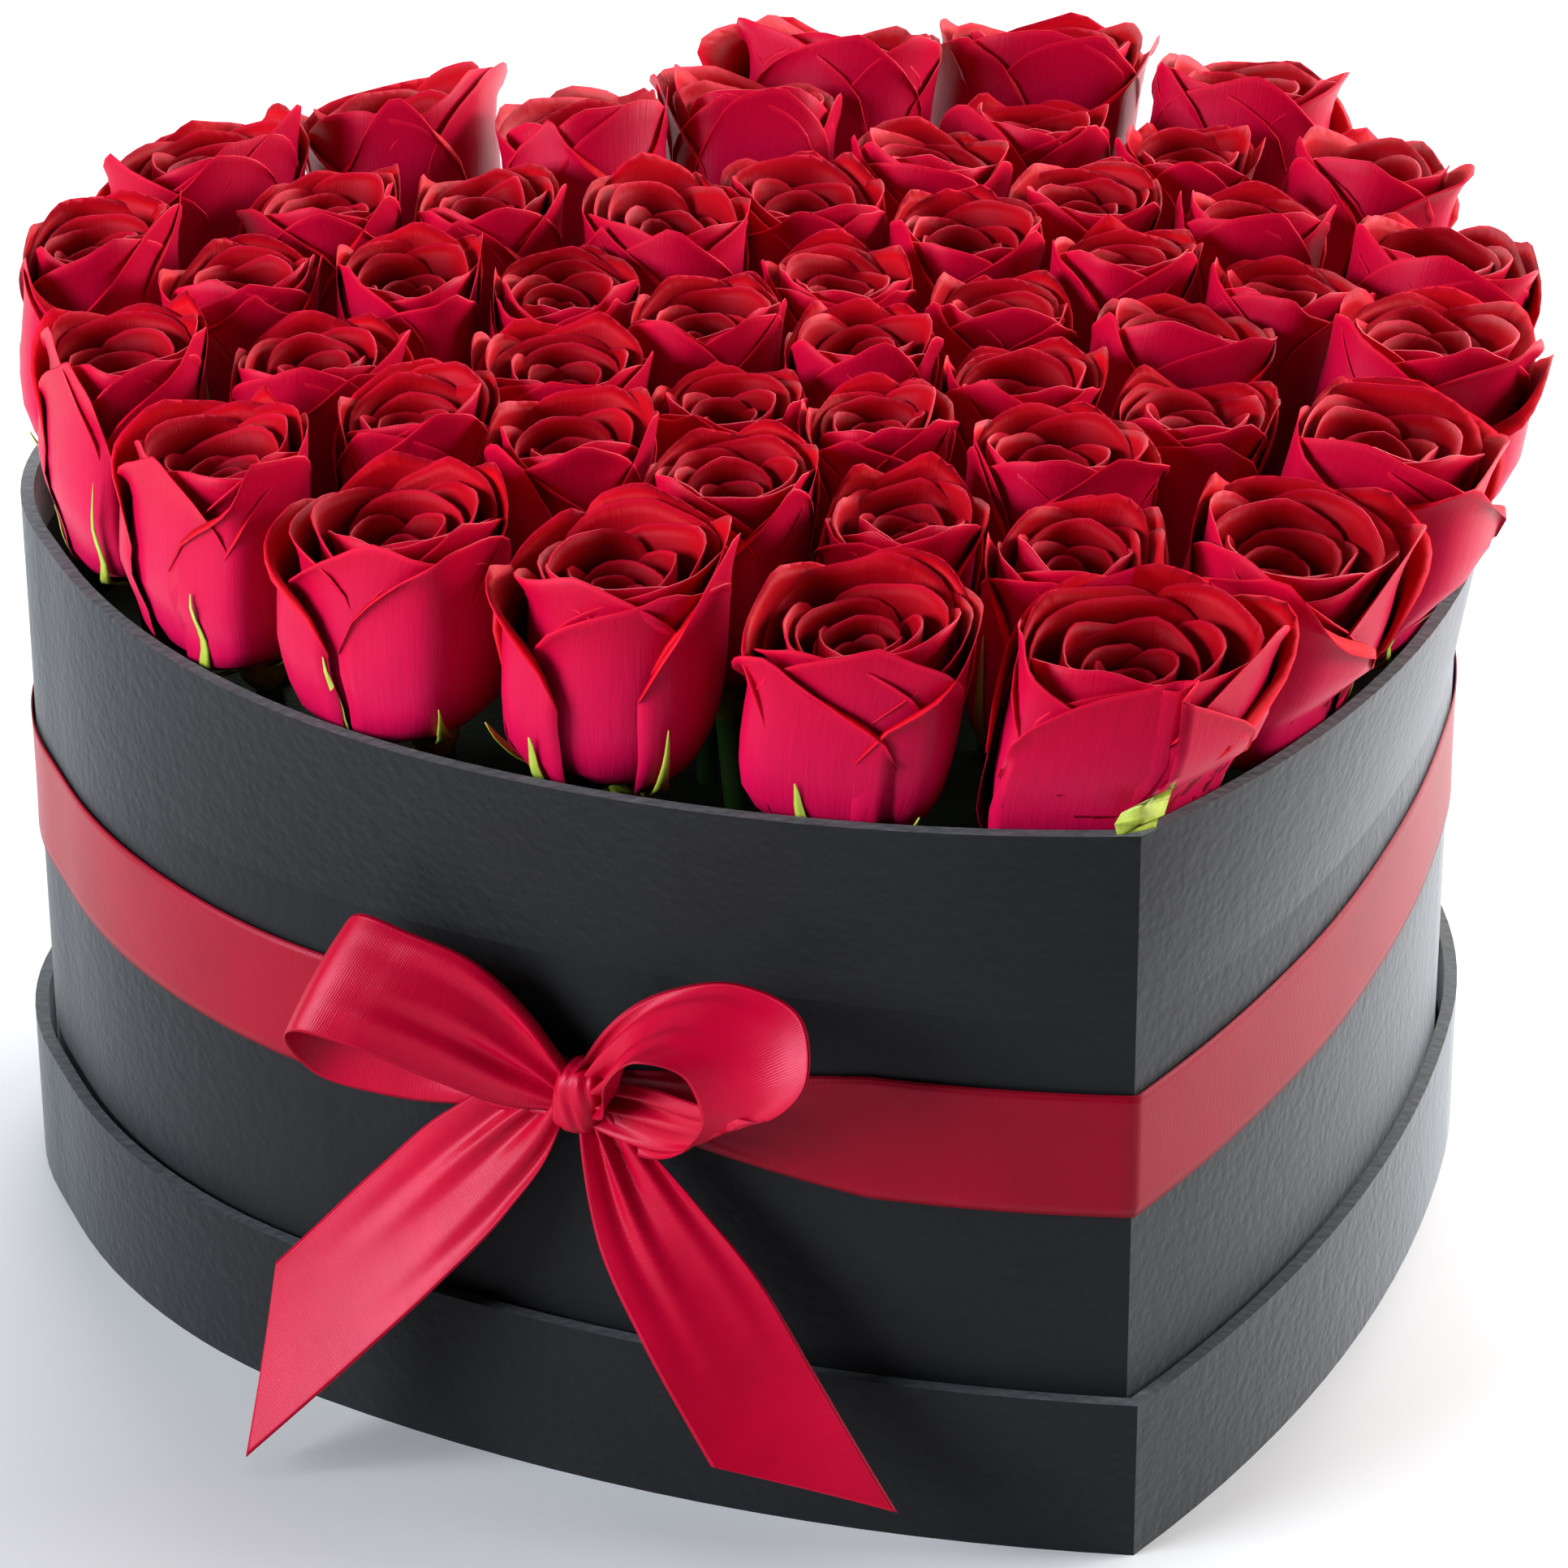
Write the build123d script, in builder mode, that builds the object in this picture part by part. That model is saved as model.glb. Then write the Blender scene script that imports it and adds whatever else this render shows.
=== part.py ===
"""Flower box: a heart-shaped hat box of roses, standing in its own upturned lid.

Millimetres, +Z up. The origin is on the underside of the lid, at the middle of the heart.
The heart is symmetric about X = 0. Its point looks along -Y, its cleft along +Y.
Cardboard layers are counted outwards from the box's outer face: a grow of 0 is that face.
"""
from build123d import *
import os
from math import acos, atan2, cos, degrees, hypot, pi, radians, sin, sqrt
from random import Random

# ---------------------------------------------------------------- driving dimensions
# The heart, measured on the outside of the box
box_width = 284.0
box_length = 272.0
side_straight = 14.0          # upright stretch at the widest place
lobe_overlap = 7.7            # how far the two round lobes run into each other at the cleft
wall_fullness = (1.633, 0.921)  # heading of the flank at its start and middle, over the chord's
rim_fullness = (1.85, 1.05)     # the same at the rim, where the flowers push the flanks out

# Heights above the table
rim_height = 146.3
belly_start = 108.0
lid_height = 32.4

# Card and paper
board = 2.0
paper = 0.3
turn_in = 15.0                # paper folded over the edge and glued down inside
lid_clearance = 1.5           # between the box and the inside of the lid

# Inside the box
tray_clearance = 0.5
tray_wall = 0.5
foam_clearance = 0.4
foam_drop = 40.6             # from the rim down to the top of the foam

# Roses
head_radius = 13.8
head_height = 40.0
calyx_radius = 5.0
calyx_height = 8.0
stem_radius = 2.5
stem_depth = 40.0             # length of stem pushed into the foam
calyx_drop = 24.0             # the foremost calyx sits this far under the rim
back_rise = 20.0              # the heads at the cleft stand this much higher than at the point
crown = 6.0                   # and those in the middle this much higher again
wall_room = 6.2               # from the outermost heads to the box's outer face
ring_room = {"second": 3.4, "third": 0.4}  # between the heads of one ring and the next
pitch_room = {"outer": 13.4, "second": 6.9, "third": 8.9}  # between neighbours in a ring
ease_room = 5.4               # between heads once they have settled
inner_roses = 5
inner_room = 3.2
ring_lean = {"outer": 9.0, "second": 6.0, "third": 3.0, "inner": 1.0}

# Ribbon
ribbon_width = 25.0
ribbon_thickness = 0.4
belt_height = 82.2            # middle of the ribbon at the heart's point
belt_rise_back = 0.040        # it was tied by hand and climbs towards the back
belt_rise_right = 0.024       # and to the right
knot_size = (9.0, 13.0, 9.0)
knot_along = 99.5             # from the heart's point, along the left flank
knot_gap = 0.4
gathered_width = 7.0          # ribbon where it is drawn into the knot
loop_length = 50.0
loop_depth = 17.0
tail_length = 72.0
tail_slant = 12.0             # half the difference between the two edges of a cut tail

# Built-up distances
box_layers = board + 2 * paper
box_bottom = board + 2 * paper
box_floor_top = box_bottom + board + 2 * paper
lid_inside = lid_clearance
lid_outside = lid_clearance + board + 2 * paper
tray_grow = -(box_layers + tray_clearance)
foam_grow = tray_grow - tray_wall - foam_clearance
foam_bottom = box_floor_top + tray_wall
foam_top = rim_height - foam_drop
head_width = 2 * head_radius
head_gap = head_width + ease_room
inner_radius = head_radius + inner_room
ring_pitch = {ring: head_width + room for ring, room in pitch_room.items()}
ring_inset = {"outer": head_radius + wall_room}
ring_inset["second"] = ring_inset["outer"] + head_width + ring_room["second"]
ring_inset["third"] = ring_inset["second"] + head_width + ring_room["third"]
lobe_radius = (box_width / 2 + lobe_overlap) / 2
lobe_x = lobe_radius - lobe_overlap
lobe_y = box_length / 2 - lobe_radius
point_y = -box_length / 2
side_y = lobe_y - side_straight


# ---------------------------------------------------------------- the heart
def flank_arcs(fullness):
    """Radii and turns of the two tangent arcs from the heart's point to its upright side.

    Headings are angles from +Y. The flank leaves the point at `start`, passes `middle`
    where the arcs meet, and is upright at the widest place.
    """
    chord = atan2(box_width / 2, side_y - point_y)
    start, middle = fullness[0] * chord, fullness[1] * chord
    front_x, front_y = cos(middle) - cos(start), sin(start) - sin(middle)
    side_x, rise_y = 1 - cos(middle), sin(middle)
    run_x, run_y = box_width / 2, side_y - point_y
    scale = front_x * rise_y - side_x * front_y
    front_radius = (run_x * rise_y - side_x * run_y) / scale
    side_radius = (front_x * run_y - run_x * front_y) / scale
    return front_radius, side_radius, start, middle


def heart(grow=0.0, fullness=wall_fullness):
    """The heart's face on XY, its edge `grow` outside the box's outer face."""
    front_radius, side_radius, start, middle = flank_arcs(fullness)
    front_centre_x = -front_radius * cos(start)
    front_centre_y = point_y + front_radius * sin(start)
    grown_radius = front_radius + grow
    grown_start = acos(-front_centre_x / grown_radius)
    tip = (0, front_centre_y - sqrt(grown_radius**2 - front_centre_x**2))
    grown_lobe = lobe_radius + grow
    with BuildLine() as outline:
        flank = JernArc(tip, (sin(grown_start), cos(grown_start)), grown_radius, degrees(grown_start - middle))
        side = JernArc(flank @ 1, flank % 1, side_radius + grow, degrees(middle))
        upright = Line(side @ 1, (box_width / 2 + grow, lobe_y))
        JernArc(upright @ 1, (0, 1), grown_lobe, degrees(acos(-lobe_x / grown_lobe)))
        mirror(about=Plane.YZ)
    return make_face(outline.edges(), mode=Mode.PRIVATE)


def heart_slab(grow, bottom, top):
    """A flat-sided heart between two heights."""
    with BuildPart() as slab:
        with BuildSketch(Plane.XY.offset(bottom)):
            add(heart(grow))
        extrude(amount=top - bottom)
    return slab.part


def heart_column(grow, bottom, top=rim_height):
    """A heart that follows the box's wall: upright first, then bellied out to the rim."""
    with BuildPart() as column:
        with BuildSketch(Plane.XY.offset(bottom)):
            add(heart(grow))
        extrude(amount=belly_start - bottom)
        with BuildSketch(Plane.XY.offset(belly_start)):
            add(heart(grow))
        with BuildSketch(Plane.XY.offset(rim_height)):
            add(heart(grow, rim_fullness))
        loft(ruled=True)
        if top < rim_height:
            split(bisect_by=Plane.XY.offset(top), keep=Keep.BOTTOM)
    return column.part


def finish(builder, label):
    """Label a finished piece and write it out."""
    builder.part.label = label
    export_step(builder.part, f"parts/{label}.step")


os.makedirs("parts", exist_ok=True)

# ---------------------------------------------------------------- lid, upside down under the box
with BuildPart() as lid_base_paper:
    add(heart_slab(lid_outside, 0, paper))
finish(lid_base_paper, "lid_base_paper")

with BuildPart() as lid_panel_board:
    add(heart_slab(lid_inside + paper, paper, paper + board))
finish(lid_panel_board, "lid_panel_board")

with BuildPart() as lid_rim_board:
    add(heart_slab(lid_outside - paper, paper, lid_height - paper))
    add(heart_slab(lid_inside + paper, paper, lid_height - paper), mode=Mode.SUBTRACT)
finish(lid_rim_board, "lid_rim_board")

with BuildPart() as lid_wrap:
    add(heart_slab(lid_outside, paper, lid_height))
    add(heart_slab(lid_outside - paper, paper, lid_height - paper), mode=Mode.SUBTRACT)
    add(heart_slab(lid_inside + paper, lid_height - turn_in, lid_height - paper))
    add(heart_slab(lid_inside, paper, lid_height), mode=Mode.SUBTRACT)
finish(lid_wrap, "lid_wrap")

with BuildPart() as lid_lining:
    add(heart_slab(lid_inside + paper, paper + board, lid_height - turn_in))
    add(heart_slab(lid_inside, box_bottom, lid_height - turn_in), mode=Mode.SUBTRACT)
finish(lid_lining, "lid_lining")

# ---------------------------------------------------------------- box
with BuildPart() as box_base_paper:
    add(heart_slab(0, box_bottom, box_bottom + paper))
finish(box_base_paper, "box_base_paper")

with BuildPart() as box_floor_board:
    add(heart_slab(-(paper + board), box_bottom + paper, box_bottom + paper + board))
finish(box_floor_board, "box_floor_board")

with BuildPart() as box_wall_board:
    add(heart_column(-paper, box_bottom + paper, rim_height - paper))
    add(heart_column(-(paper + board), box_bottom + paper), mode=Mode.SUBTRACT)
finish(box_wall_board, "box_wall_board")

with BuildPart() as box_wrap:
    add(heart_column(0, box_bottom + paper))
    add(heart_column(-paper, box_bottom + paper, rim_height - paper), mode=Mode.SUBTRACT)
    add(heart_column(-(paper + board), box_bottom + paper))
    add(heart_column(-box_layers, box_bottom + paper), mode=Mode.SUBTRACT)
    add(heart_column(-(paper + board), box_bottom + paper, rim_height - turn_in), mode=Mode.SUBTRACT)
finish(box_wrap, "box_wrap")

with BuildPart() as box_lining:
    add(heart_column(-(paper + board), box_bottom + paper + board, rim_height - turn_in))
    add(heart_column(-box_layers, box_floor_top), mode=Mode.SUBTRACT)
finish(box_lining, "box_lining")

# ---------------------------------------------------------------- ribbon belt
def belt_plane(offset):
    """The belt's middle plane, tipped as it was tied, moved up by `offset`."""
    up = Vector(-belt_rise_right, -belt_rise_back, 1)
    return Plane(origin=(0, point_y, belt_height + offset), z_dir=up)


def belted_column(grow):
    """The wall's shape with the cleft spanned, as a tight ribbon goes straight from lobe to lobe."""
    with BuildPart() as column:
        add(heart_column(grow, lid_height))
        with BuildSketch(Plane.XY.offset(lid_height)):
            with Locations((0, lobe_y)):
                Rectangle(2 * lobe_x, lobe_radius + grow, align=(Align.CENTER, Align.MIN))
        extrude(amount=rim_height - lid_height)
    return column.part


with BuildPart() as ribbon_belt:
    add(belted_column(ribbon_thickness))
    add(belted_column(0), mode=Mode.SUBTRACT)
    split(bisect_by=belt_plane(ribbon_width / 2), keep=Keep.BOTTOM)
    split(bisect_by=belt_plane(-ribbon_width / 2), keep=Keep.TOP)
finish(ribbon_belt, "ribbon_belt")


# ---------------------------------------------------------------- bow
def flank_place(along):
    """Point and outward direction on the box's left flank, `along` from the heart's point."""
    front_radius, side_radius, start, middle = flank_arcs(wall_fullness)
    turned = start - min(along / front_radius, start - middle)
    centre_x, centre_y = front_radius * cos(start), point_y + front_radius * sin(start)
    outward = Vector(-cos(turned), -sin(turned), 0)
    return Vector(centre_x, centre_y, 0) + outward * front_radius, outward


knot_reach = hypot(knot_size[0], knot_size[1]) / 2 + knot_gap
wall_point, outward = flank_place(knot_along)
belt_at_knot = belt_height + belt_rise_right * wall_point.X + belt_rise_back * (wall_point.Y - point_y)
towards_point = outward.rotate(Axis.Z, 90)
bow_plane = Plane(
    origin=wall_point + Vector(0, 0, belt_at_knot) + outward * (ribbon_thickness + knot_size[2] / 2),
    x_dir=towards_point,
    z_dir=outward,
)


def bow_frame(turn, swing, roll):
    """The bow's own frame, turned in the wall's plane, swung away from the wall, then rolled."""
    return bow_plane.location * Rotation(0, 0, turn) * Rotation(0, swing, 0) * Rotation(roll, 0, 0)


def ribbon_outline(length, slant):
    """A strip along +X that widens from the knot to the ribbon's width, its far end cut on a slant."""
    half, spread = ribbon_width / 2, knot_reach + ribbon_width
    near = [(knot_reach, -gathered_width / 2), (spread, -half)]
    far = [(length - slant, -half), (length + slant, half)]
    return Polygon(*near, *far, (spread, half), (knot_reach, gathered_width / 2), align=None)


def ribbon_loop(place):
    """A band bent back on itself: narrow where it enters the knot, round at its far end."""
    end_radius = loop_depth / 2
    lean = degrees(atan2(end_radius, loop_length - end_radius - knot_reach))
    with BuildPart() as loop:
        with BuildSketch(Plane.XZ):
            with BuildLine():
                bend = CenterArc((loop_length - end_radius, 0), end_radius, -90 - lean, 180 + 2 * lean)
                Polyline(bend @ 0, (knot_reach, -ribbon_thickness), (knot_reach, ribbon_thickness), bend @ 1)
            make_face()
            offset(amount=-2 * ribbon_thickness, mode=Mode.SUBTRACT)
        extrude(amount=ribbon_width / 2, both=True)
        with BuildSketch(Plane.XY.offset(-loop_depth)):
            ribbon_outline(loop_length, 0)
        extrude(amount=2 * loop_depth, mode=Mode.INTERSECT)
    return place * loop.part


def ribbon_tail(place, length, slant):
    """A flat strip from the knot to its cut end."""
    with BuildPart() as tail:
        with BuildSketch(Plane.XY):
            ribbon_outline(length, slant)
        extrude(amount=2 * ribbon_thickness)
    return place * tail.part


with BuildPart(bow_plane) as bow_knot:
    Box(*knot_size)
    fillet(bow_knot.edges(), knot_size[0] / 3)
finish(bow_knot, "bow_knot")

with BuildPart() as bow_loop_left:
    add(ribbon_loop(bow_frame(157, -12, 0)))
finish(bow_loop_left, "bow_loop_left")

with BuildPart() as bow_loop_right:
    add(ribbon_loop(bow_frame(26, -16, 24)))
finish(bow_loop_right, "bow_loop_right")

with BuildPart() as bow_tail_left:
    add(ribbon_tail(bow_frame(-129, -14, 0), tail_length, tail_slant))
finish(bow_tail_left, "bow_tail_left")

with BuildPart() as bow_tail_right:
    add(ribbon_tail(bow_frame(-51, -8, 0), tail_length, tail_slant))
finish(bow_tail_right, "bow_tail_right")

# ---------------------------------------------------------------- where the roses stand
hand = Random(7)
middle_y = (point_y + lobe_y) / 2


def ring_spots(inset, pitch):
    """Points spaced evenly round a line `inset` inside the box's outer face, from its foremost point."""
    path = heart().face().outer_wire().offset_2d(-inset)
    count = round(path.length / pitch)
    foremost = min((i / 400 for i in range(400)), key=lambda step: path.position_at(step).Y)
    return [path.position_at((foremost + i / count) % 1) for i in range(count)]


def eased(loose, fixed):
    """The loose spots after pushing crowded neighbours apart, as packed flowers settle."""
    for _ in range(400):
        for i, spot in enumerate(loose):
            gaps = [spot - other for other in fixed + loose if other is not spot]
            pushes = [gap.normalized() * (head_gap - gap.length) / 4 for gap in gaps if gap.length < head_gap]
            loose[i] = sum(pushes, spot)
    return loose


def rose_place(spot, ring):
    """A plane at the top of a rose's stem, z up along the stem."""
    out = Vector(spot.X, spot.Y - middle_y, 0)
    lean = radians(ring_lean[ring] + hand.uniform(-1, 1))
    axis = out.normalized() * sin(lean) + Vector(0, 0, cos(lean))
    reach = min(hypot(2 * spot.X / box_width, 2 * (spot.Y - middle_y) / box_length), 1)
    height = rim_height - calyx_drop + back_rise * (spot.Y - point_y) / box_length
    height += crown * (1 - reach**2) + hand.uniform(-1.5, 1.5)
    return Plane(origin=(spot.X, spot.Y, height), z_dir=axis)


spots = {ring: ring_spots(ring_inset[ring], ring_pitch[ring]) for ring in ring_inset}
turns = [2 * pi * i / inner_roses for i in range(inner_roses)]
spots["inner"] = [Vector(inner_radius * sin(turn), middle_y + inner_radius * cos(turn), 0) for turn in turns]
loose = eased(spots["second"] + spots["third"] + spots["inner"], spots["outer"])
for ring in ("second", "third", "inner"):
    spots[ring], loose = loose[: len(spots[ring])], loose[len(spots[ring]) :]
roses = {ring: [rose_place(spot, ring) for spot in ring_places] for ring, ring_places in spots.items()}

# ---------------------------------------------------------------- one rose, at the origin
with BuildPart() as one_head:
    with BuildSketch(Plane.XZ):
        with BuildLine():
            base = Line((0, calyx_height), (calyx_radius, calyx_height))
            cup = ThreePointArc(
                base @ 1,
                (0.8 * head_radius, calyx_height + 0.3 * head_height),
                (head_radius, calyx_height + 0.65 * head_height),
            )
            lip = Line(cup @ 1, (0.95 * head_radius, calyx_height + 0.92 * head_height))
            crest = Line(lip @ 1, (0.5 * head_radius, calyx_height + head_height))
            Polyline(crest @ 1, (0, calyx_height + head_height), base @ 0)
        make_face()
    revolve(axis=Axis.Z)

with BuildPart() as one_calyx:
    with BuildSketch(Plane.XZ):
        with BuildLine():
            foot = Line((0, 0), (stem_radius, 0))
            bulge = ThreePointArc(foot @ 1, (0.95 * calyx_radius, 0.45 * calyx_height), (calyx_radius, calyx_height))
            Polyline(bulge @ 1, (0, calyx_height), foot @ 0)
        make_face()
    revolve(axis=Axis.Z)


def stem_bottom(place):
    """Distance down the stem from its top to its end in the foam."""
    return (place.origin.Z - foam_top) / place.z_dir.Z + stem_depth


for ring, places in roses.items():
    with BuildPart() as rose_heads:
        with Locations(*places):
            add(one_head.part)
    finish(rose_heads, f"rose_heads_{ring}")

    with BuildPart() as rose_calyces:
        with Locations(*places):
            add(one_calyx.part)
    finish(rose_calyces, f"rose_calyces_{ring}")

    with BuildPart() as rose_stems:
        for place in places:
            with Locations(place):
                Cylinder(stem_radius, stem_bottom(place), align=(Align.CENTER, Align.CENTER, Align.MAX))
    finish(rose_stems, f"rose_stems_{ring}")

# ---------------------------------------------------------------- foam and its waterproof tray
with BuildPart() as waterproof_tray:
    add(heart_slab(tray_grow, box_floor_top, foam_top))
    add(heart_slab(tray_grow - tray_wall, foam_bottom, foam_top), mode=Mode.SUBTRACT)
finish(waterproof_tray, "waterproof_tray")

for name, keep in (("left", Keep.BOTTOM), ("right", Keep.TOP)):
    with BuildPart() as floral_foam:
        add(heart_slab(foam_grow, foam_bottom, foam_top))
        split(bisect_by=Plane.YZ, keep=keep)
        for places in roses.values():
            for place in places:
                with Locations(place):
                    stem = stem_bottom(place)
                    Cylinder(stem_radius, stem, align=(Align.CENTER, Align.CENTER, Align.MAX), mode=Mode.SUBTRACT)
    finish(floral_foam, f"floral_foam_{name}")

print("roses:", {ring: len(places) for ring, places in roses.items()})
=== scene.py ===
"""The looks of the flower box: roses, satin ribbon and embossed paper round the fixed cardboard."""

from math import atan2, cos, pi, radians, sin

import bmesh
import bpy
import numpy as np
from mathutils import Matrix, Vector


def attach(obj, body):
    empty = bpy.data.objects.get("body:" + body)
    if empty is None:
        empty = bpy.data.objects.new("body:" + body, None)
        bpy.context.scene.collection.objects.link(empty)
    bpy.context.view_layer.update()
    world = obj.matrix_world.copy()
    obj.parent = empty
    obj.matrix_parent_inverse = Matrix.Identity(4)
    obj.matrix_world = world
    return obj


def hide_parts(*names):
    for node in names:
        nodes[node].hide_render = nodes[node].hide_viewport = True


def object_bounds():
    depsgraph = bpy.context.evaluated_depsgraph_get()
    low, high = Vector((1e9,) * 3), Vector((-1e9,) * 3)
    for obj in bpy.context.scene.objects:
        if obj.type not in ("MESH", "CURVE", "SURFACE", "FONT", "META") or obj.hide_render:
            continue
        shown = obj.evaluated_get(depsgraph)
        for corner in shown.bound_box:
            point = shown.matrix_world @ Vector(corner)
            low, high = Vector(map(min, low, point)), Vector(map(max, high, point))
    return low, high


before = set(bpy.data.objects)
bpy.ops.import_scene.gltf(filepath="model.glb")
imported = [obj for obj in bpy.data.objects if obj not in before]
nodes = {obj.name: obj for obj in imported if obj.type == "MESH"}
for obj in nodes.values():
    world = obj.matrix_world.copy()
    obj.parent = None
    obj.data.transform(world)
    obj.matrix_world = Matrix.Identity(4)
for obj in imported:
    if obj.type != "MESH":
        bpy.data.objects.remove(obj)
cad_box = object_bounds()
MM = 0.001

# ---------------------------------------------------------------- camera
camera = bpy.data.objects.new("camera", bpy.data.cameras.new("camera"))
bpy.context.scene.collection.objects.link(camera)
bpy.context.scene.camera = camera
camera.data.sensor_width = 36
camera.data.lens = 135.26
camera.data.clip_start = 0.05
ahead = Vector((0.33433, 0.82658, -0.45275)).normalized()
level = ahead.cross(Vector((0, 0, 1))).normalized()
tipped = Matrix.Rotation(radians(-0.275), 3, -ahead) @ level
camera.matrix_world = Matrix((tipped, tipped.cross(ahead), -ahead)).transposed().to_4x4()
camera.location = (-0.39582, -0.95015, 0.61538)


# ---------------------------------------------------------------- light and table
def soft_light(name, place, aim, width, height, watts, colour):
    """A rectangular studio light that looks at a point."""
    data = bpy.data.lights.new(name, "AREA")
    data.shape = "RECTANGLE"
    data.size, data.size_y, data.energy, data.color = width, height, watts, colour
    light = bpy.data.objects.new(name, data)
    bpy.context.scene.collection.objects.link(light)
    light.location = place
    light.rotation_euler = (Vector(aim) - Vector(place)).to_track_quat("-Z", "Y").to_euler()


middle = (cad_box[0] + cad_box[1]) / 2
soft_light("window_left", (-1.9, -0.1, 0.7), middle, 1.2, 0.9, 70, (0.88, 0.94, 1.0))
soft_light("window_back", (0.7, 1.6, 1.3), (0.15, 0.3, 0.0), 1.6, 1.0, 36, (1.0, 0.99, 0.97))
soft_light("window_right", (1.5, -0.4, 0.6), middle, 0.9, 0.8, 42, (1.0, 0.98, 0.96))
soft_light("table_right", (0.62, 0.36, 0.42), (0.30, 0.12, 0.0), 0.4, 0.3, 5.0, (1.0, 0.99, 0.98))
soft_light("overhead", (0.1, -0.1, 2.0), middle, 0.9, 0.9, 4, (1.0, 0.99, 0.98))
room = bpy.data.worlds.new("room")
bpy.context.scene.world = room
room.use_nodes = True
room.node_tree.nodes["Background"].inputs["Color"].default_value = (0.86, 0.9, 1.0, 1)
room.node_tree.nodes["Background"].inputs["Strength"].default_value = 0.05
bpy.context.scene.view_settings.view_transform = "Standard"


# ---------------------------------------------------------------- finishes
class Wire:
    """A shader value. Arithmetic on it adds Math nodes."""

    def __init__(self, finish, socket):
        self.finish, self.socket = finish, socket

    def maths(self, operation, first, second=0.0):
        return self.finish.node("ShaderNodeMath", {"operation": operation}, {0: first, 1: second})

    def __add__(self, other):
        return self.maths("ADD", self, other)

    def __radd__(self, other):
        return self.maths("ADD", other, self)

    def __sub__(self, other):
        return self.maths("SUBTRACT", self, other)

    def __rsub__(self, other):
        return self.maths("SUBTRACT", other, self)

    def __mul__(self, other):
        return self.maths("MULTIPLY", self, other)

    def __rmul__(self, other):
        return self.maths("MULTIPLY", other, self)

    def __pow__(self, other):
        return self.maths("POWER", self, other)

    def held(self):
        """The value kept between 0 and 1."""
        return self.maths("MINIMUM", self.maths("MAXIMUM", self, 0.0), 1.0)

    def sine(self):
        return self.maths("SINE", self)

    def away(self):
        return self.maths("ABSOLUTE", self)


class Finish:
    """A material whose nodes are added one call at a time."""

    def __init__(self, name, **settings):
        self.material = bpy.data.materials.new(name)
        self.material.use_nodes = True
        self.tree = self.material.node_tree
        self.shader = self.tree.nodes["Principled BSDF"]
        for socket, value in settings.items():
            self.shader.inputs[socket.replace("_", " ")].default_value = value

    def node(self, kind, settings=(), inputs=(), output=0):
        """Add a node: its settings first, then the values or wires of its sockets."""
        made = self.tree.nodes.new(kind)
        for name, value in dict(settings).items():
            setattr(made, name, value)
        for name, value in dict(inputs).items():
            if isinstance(value, Wire):
                self.tree.links.new(value.socket, made.inputs[name])
            else:
                made.inputs[name].default_value = value
        return Wire(self, made.outputs[output])

    def feed(self, socket, wire):
        self.tree.links.new(wire.socket, self.shader.inputs[socket])

    def kept(self, name):
        """A value stored on the piece's own points."""
        return self.node("ShaderNodeAttribute", {"attribute_name": name}, output="Fac")

    def places(self):
        """Object coordinates, in metres."""
        return self.node("ShaderNodeTexCoord", output="Object")

    def noise(self, scale, where=None, detail=3.0, roughness=0.55):
        where = where or self.places()
        inputs = {"Vector": where, "Scale": scale, "Detail": detail, "Roughness": roughness}
        return self.node("ShaderNodeTexNoise", {}, inputs)

    def blend(self, share, low, high):
        """A colour between two colours."""
        inputs = {"Factor": share, 6: low, 7: high}
        return self.node("ShaderNodeMix", {"data_type": "RGBA"}, inputs, output=2)

    def bump(self, height, depth, strength=1.0, normal=None):
        inputs = {"Height": height, "Distance": depth, "Strength": strength}
        if normal:
            inputs["Normal"] = normal
        return self.node("ShaderNodeBump", {}, inputs, output="Normal")

    def stretched(self, where, scale):
        """A place scaled by a different amount along each axis."""
        return self.node("ShaderNodeMapping", {}, {"Vector": where, "Scale": scale})

    def along(self, *names):
        """A vector from values stored on the piece."""
        kept = [self.kept(name) for name in names]
        return self.node("ShaderNodeCombineXYZ", {}, dict(enumerate(kept)))


def embossed_paper():
    """Black paper rolled with a fine leather grain."""
    finish = Finish(
        "embossed_paper",
        Specular_IOR_Level=0.12,
        Sheen_Weight=0.75,
        Sheen_Roughness=0.37,
        Sheen_Tint=(0.88, 0.94, 1.0, 1),
    )
    grain = finish.noise(250, detail=4)
    cell_inputs = {"Vector": finish.places(), "Scale": 520.0, "Smoothness": 0.6}
    cells = finish.node("ShaderNodeTexVoronoi", {"feature": "SMOOTH_F1"}, cell_inputs)
    dust = finish.noise(60, detail=5)
    finish.feed("Base Color", finish.blend(dust, (0.0022, 0.0022, 0.0030, 1), (0.0050, 0.0050, 0.0062, 1)))
    finish.feed("Roughness", 0.43 + dust * 0.12)
    finish.feed("Normal", finish.bump(grain + cells * 0.5, 0.00032, 0.5))
    return finish.material


def lining_paper():
    """Smooth black paper glued inside."""
    finish = Finish("lining_paper")
    fibres = finish.noise(900, detail=4)
    finish.feed("Base Color", finish.blend(fibres, (0.012, 0.012, 0.014, 1), (0.022, 0.022, 0.025, 1)))
    finish.feed("Roughness", 0.6 + fibres * 0.2)
    finish.feed("Normal", finish.bump(fibres, 0.00005, 0.4))
    return finish.material


def greyboard():
    """Pressed board with flecks and fibres."""
    finish = Finish("greyboard", Roughness=0.85)
    fibres = finish.noise(700, detail=6)
    flecks = (finish.noise(1800, detail=2) * 6 - 3.6).held()
    pulp = finish.blend(fibres, (0.19, 0.17, 0.145, 1), (0.30, 0.275, 0.24, 1))
    finish.feed("Base Color", finish.blend(flecks, pulp, (0.09, 0.08, 0.07, 1)))
    finish.feed("Normal", finish.bump(fibres, 0.00012, 0.6))
    return finish.material


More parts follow.
